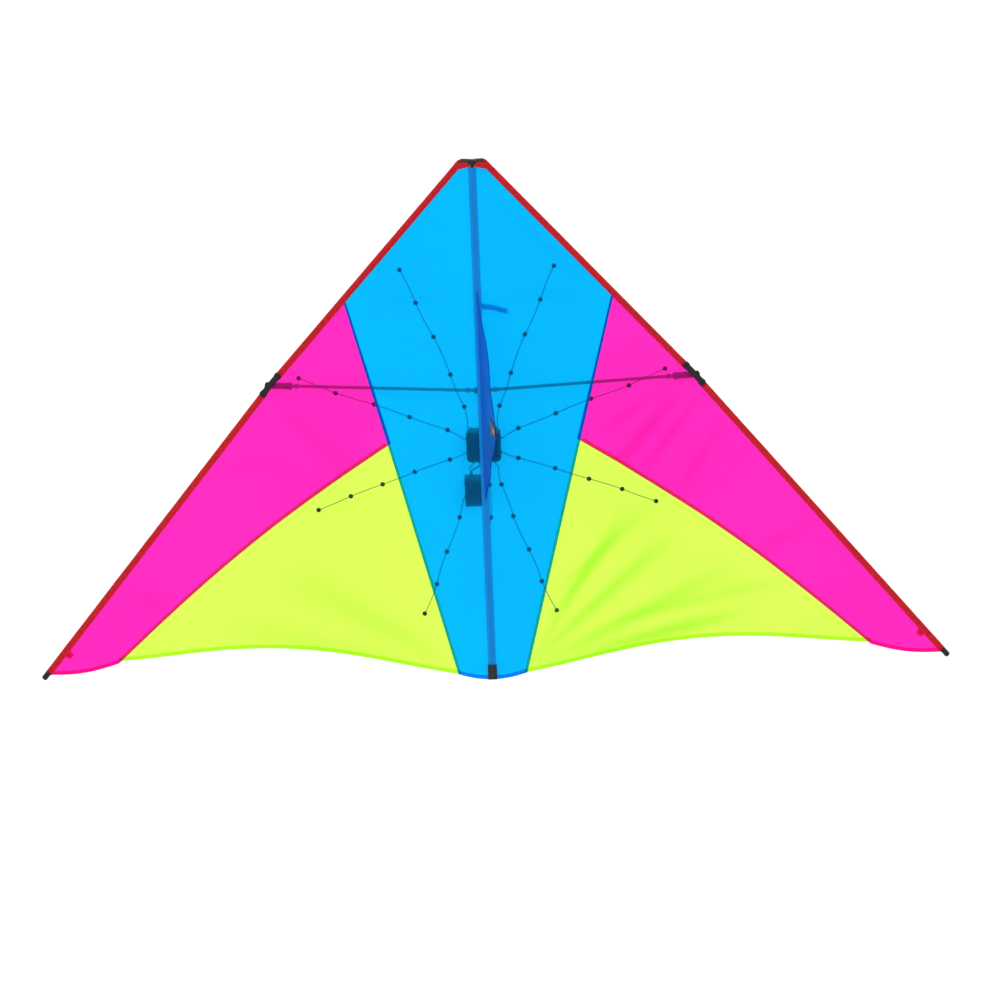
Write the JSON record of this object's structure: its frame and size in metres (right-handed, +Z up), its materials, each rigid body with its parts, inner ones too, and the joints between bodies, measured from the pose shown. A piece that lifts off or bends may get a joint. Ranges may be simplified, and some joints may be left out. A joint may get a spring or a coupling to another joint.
{
  "type": "delta kite",
  "caption": "Lit delta kite: coloured ripstop sail on a folding rod frame, keel with tow eyelet, spreader, and strings of lamps with controller and battery box behind.",
  "frame": {"origin": "middle of the kite's box, on the plane of the spine and keel", "axes": "+X along the span, +Y towards the back of the kite, +Z up along the spine to the nose"},
  "size_m": [1.6004, 0.264, 0.959],
  "materials": {
    "blue_ripstop": "thin ripstop nylon, lets light through",
    "pink_ripstop": "thin ripstop nylon, lets light through",
    "yellow_ripstop": "thin ripstop nylon, lets light through",
    "red_binding": "woven sleeve tape",
    "black_webbing": "woven webbing",
    "glass_fibre_rod": "satin pultruded rod",
    "vinyl_fitting": "moulded vinyl",
    "box_plastic": "fine sparked texture",
    "switch_plastic": "smooth",
    "lamp_wire": "enamelled wire and moulded lamps",
    "circuit_board": "solder mask",
    "steel_plate": "plated",
    "cell_jacket": "printed film",
    "nickel_eyelet": "pressed, nickel plated"
  },
  "bodies": {
    "frame": {"spine_rod": "glass_fibre_rod", "spine_nose_cap": "vinyl_fitting", "spine_tail_cap": "vinyl_fitting", "spine_pocket": "blue_ripstop", "nose_webbing": "black_webbing", "tail_webbing": "black_webbing", "centre_joiner": "vinyl_fitting", "led_strand_up": "lamp_wire", "led_strand_down": "lamp_wire", "storage_tie": "blue_ripstop", "hub_base": "box_plastic", "hub_lid": "box_plastic", "hub_screw_upper": "steel_plate", "hub_screw_lower": "steel_plate", "hub_circuit_board": "circuit_board", "hub_pad": "black_webbing", "battery_case": "box_plastic", "battery_cell_1": "cell_jacket", "battery_cell_2": "cell_jacket", "battery_cell_3": "cell_jacket", "battery_contact_plate": "steel_plate", "battery_pad": "black_webbing", "battery_lead": "lamp_wire"},
    "keel": {"keel_panel": "blue_ripstop", "keel_patch_left": "black_webbing", "keel_patch_right": "black_webbing", "tow_eyelet": "nickel_eyelet"},
    "left_wing": {"left_sail_centre": "blue_ripstop", "left_sail_outer": "pink_ripstop", "left_sail_rear": "yellow_ripstop", "left_leading_edge_rod_upper": "glass_fibre_rod", "left_leading_edge_rod_lower": "glass_fibre_rod", "left_nose_patch": "red_binding", "left_leading_edge_sleeve_upper": "red_binding", "left_leading_edge_sleeve_lower": "red_binding", "left_tip_cap": "vinyl_fitting", "left_t_connector": "vinyl_fitting", "left_spreader_rod": "glass_fibre_rod", "left_led_strand_front": "lamp_wire", "left_led_strand_upper": "lamp_wire", "left_led_strand_lower": "lamp_wire", "left_led_strand_rear": "lamp_wire"},
    "right_wing": {"right_sail_centre": "blue_ripstop", "right_sail_outer": "pink_ripstop", "right_sail_rear": "yellow_ripstop", "right_leading_edge_rod_upper": "glass_fibre_rod", "right_leading_edge_rod_lower": "glass_fibre_rod", "right_nose_patch": "red_binding", "right_leading_edge_sleeve_upper": "red_binding", "right_leading_edge_sleeve_lower": "red_binding", "right_tip_cap": "vinyl_fitting", "right_t_connector": "vinyl_fitting", "right_spreader_rod": "glass_fibre_rod", "right_led_strand_front": "lamp_wire", "right_led_strand_upper": "lamp_wire", "right_led_strand_lower": "lamp_wire", "right_led_strand_rear": "lamp_wire"},
    "battery_cover": {"battery_cover": "box_plastic"},
    "power_switch": {"power_switch": "switch_plastic"}
  },
  "joints": [
    {"name": "left_wing_fold", "type": "hinge", "parent": "frame", "child": "left_wing", "pos_m": [0, 0.00687, 0], "axis": [0, 0, 1], "range_deg": [0, 84], "deforming": ["centre_joiner"]},
    {"name": "right_wing_fold", "type": "hinge", "parent": "frame", "child": "right_wing", "pos_m": [0, 0.00687, 0], "axis": [0, 0, -1], "range_deg": [0, 84]},
    {"name": "keel_swing", "type": "hinge", "parent": "frame", "child": "keel", "pos_m": [0, 0.01037, 0], "axis": [0, 0, 1], "range_deg": [-25, 2]},
    {"name": "battery_cover_slide", "type": "slide", "parent": "frame", "child": "battery_cover", "axis": [0, 0, -1], "range_m": [0, 0.046]},
    {"name": "power_switch_slide", "type": "slide", "parent": "frame", "child": "power_switch", "axis": [0, 0, -1], "range_m": [0, 0.0044]}
  ]
}
